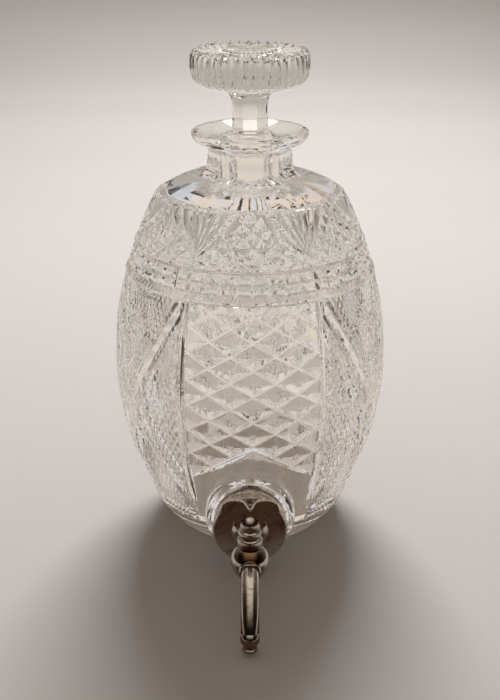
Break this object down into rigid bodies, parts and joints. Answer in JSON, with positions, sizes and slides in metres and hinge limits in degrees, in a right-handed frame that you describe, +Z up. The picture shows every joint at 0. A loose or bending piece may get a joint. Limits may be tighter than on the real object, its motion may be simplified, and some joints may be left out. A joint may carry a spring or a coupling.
{
  "type": "decanter with tap",
  "caption": "Barrel-shaped cut glass decanter with a lift-out fluted stopper and a turning plug tap low on its front, for serving spirits or wine.",
  "frame": {"origin": "centre of the jar's flat base, on the jar's own axis", "axes": "+Z up along the jar's axis; -Y forwards, the way the tap points; +X to the right for someone who faces the tap"},
  "size_m": [0.1788, 0.2767, 0.317],
  "materials": {
    "cut_glass": "clear, fire polished, with mitre cuts; the stopper's plug is ground matt",
    "silver_plate": "polished silver plate, a little worn and warm in tone",
    "plain_steel": "plain turned",
    "cork": "dark pressed cork",
    "rubber": "matt black"
  },
  "bodies": {
    "jar": {"bottle": "cut_glass", "boss_washer": "cork", "tap_collar": "silver_plate", "tap_body": "silver_plate", "spout_ferrule": "silver_plate", "spout_tube": "silver_plate", "spout_nozzle": "silver_plate", "inner_washer": "rubber", "inner_plate": "silver_plate", "inner_nut": "silver_plate"},
    "stopper": {"stopper": "cut_glass"},
    "key": {"tap_key": "silver_plate", "heart_handle": "silver_plate", "key_washer": "plain_steel", "key_nut": "silver_plate"}
  },
  "joints": [
    {"name": "stopper_lift", "type": "slide", "parent": "jar", "child": "stopper", "axis": [0, 0, 1], "range_m": [0, 0.06]},
    {"name": "key_turn", "type": "hinge", "parent": "jar", "child": "key", "pos_m": [0, -0.1345, 0.0334], "axis": [0, 0, 1], "continuous": true}
  ]
}
